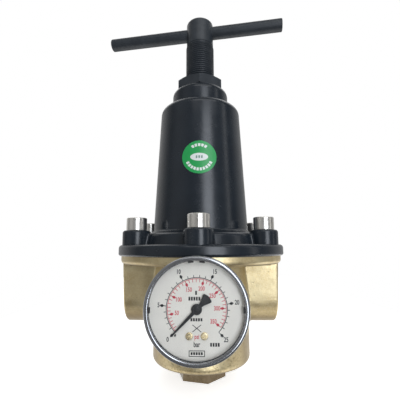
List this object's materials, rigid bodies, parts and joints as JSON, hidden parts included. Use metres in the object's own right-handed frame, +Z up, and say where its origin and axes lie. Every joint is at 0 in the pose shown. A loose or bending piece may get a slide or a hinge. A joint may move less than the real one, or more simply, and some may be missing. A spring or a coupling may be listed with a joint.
{
  "type": "air pressure regulator",
  "caption": "Spring-loaded diaphragm pressure regulator with a brass body, two threaded ports, a painted bonnet, an adjusting screw with a crossbar and a dial gauge on the front.",
  "frame": {"origin": "centre of the bottom plug's underside", "axes": "+Z up the adjusting screw, +X out of the outlet port, -Y out of the gauge's dial"},
  "size_m": [0.1705, 0.1602, 0.321],
  "materials": {
    "cast_brass": "sand cast and blasted, satin",
    "turned_brass": "turned or milled, fine tool marks",
    "washer_brass": "flat sealing washer, dull",
    "screw_brass": "turned, bright",
    "tube_brass": "drawn tube and strip, darkened by solder heat",
    "movement_brass": "punched and brushed",
    "movement_steel": "ground",
    "seal_rubber": "moulded, matt",
    "diaphragm_rubber": "moulded with fabric inside, matt",
    "spring_steel": "drawn wire, oiled",
    "plated_steel": "turned and zinc plated",
    "black_paint": "semi-gloss black paint on a smooth casting",
    "bright_steel": "bright zinc, smooth heads",
    "label_film": "printed film",
    "blackened_steel": "blackened and oiled",
    "gauge_chrome": "polished, fine turning lines on the rim",
    "clear_window": "clear moulded plastic",
    "dial_paint": "printed dial, matt white",
    "pointer_black": "matt black"
  },
  "bodies": {
    "body": {"regulator_body": "cast_brass", "bottom_plug": "turned_brass", "plug_seal": "seal_rubber", "valve_seat": "turned_brass", "valve_spring": "spring_steel", "diaphragm": "diaphragm_rubber", "bonnet": "black_paint", "bonnet_screws": "bright_steel", "label": "label_film", "main_spring": "spring_steel", "gauge_washer": "washer_brass", "gauge_socket": "turned_brass", "gauge_case": "gauge_chrome", "gauge_window": "clear_window", "gauge_dial": "dial_paint", "dial_screws": "screw_brass", "pointer_stop": "pointer_black", "bourdon_tube": "tube_brass", "movement_plates": "movement_brass", "movement_pillars": "movement_brass", "sector_shaft": "movement_steel", "hairspring": "tube_brass"},
    "spring_button": {"spring_button": "plated_steel"},
    "adjusting_screw": {"adjusting_screw": "blackened_steel", "tommy_bar": "blackened_steel"},
    "jam_nut": {"jam_nut": "blackened_steel"},
    "diaphragm_set": {"diaphragm_top_plate": "plated_steel", "diaphragm_bottom_plate": "turned_brass", "diaphragm_stud": "turned_brass", "diaphragm_nut": "plated_steel"},
    "valve": {"valve_poppet": "turned_brass", "poppet_seal": "seal_rubber"},
    "pointer": {"pointer": "pointer_black", "pointer_arbor": "movement_steel"},
    "sector": {"sector_gear": "movement_brass", "link": "movement_brass"}
  },
  "joints": [
    {"name": "screw_turn", "type": "hinge", "parent": "spring_button", "child": "adjusting_screw", "pos_m": [0, 0, 0.21], "axis": [0, 0, 1], "range_deg": [-4320, 720]},
    {"name": "screw_feed", "type": "slide", "parent": "body", "child": "spring_button", "axis": [0, 0, 1], "range_m": [-0.024, 0.004], "deforming": ["main_spring"]},
    {"name": "jam_nut_turn", "type": "hinge", "parent": "body", "child": "jam_nut", "pos_m": [0, 0, 0.252], "axis": [0, 0, 1], "range_deg": [0, 360]},
    {"name": "diaphragm_lift", "type": "slide", "parent": "body", "child": "diaphragm_set", "axis": [0, 0, 1], "range_m": [-0.002, 0], "stiffness_N_per_m": 2000, "springref_m": 0.005, "deforming": ["diaphragm"]},
    {"name": "valve_lift", "type": "slide", "parent": "body", "child": "valve", "axis": [0, 0, 1], "range_m": [-0.0021, 0.0001], "deforming": ["valve_spring"]},
    {"name": "pointer_turn", "type": "hinge", "parent": "body", "child": "pointer", "pos_m": [-0.0004, -0.0814, 0.0678], "axis": [0, 1, 0], "range_deg": [-0.5, 270.5]},
    {"name": "sector_turn", "type": "hinge", "parent": "body", "child": "sector", "pos_m": [-0.0004, -0.0786, 0.051], "axis": [0, 1, 0], "range_deg": [-45, 0]}
  ],
  "couplings": [
    {"joint": "screw_feed", "follows": "screw_turn", "m_per_rad": 0.00031831},
    {"joint": "valve_lift", "follows": "diaphragm_lift", "ratio": 1},
    {"joint": "pointer_turn", "follows": "sector_turn", "ratio": -6}
  ]
}
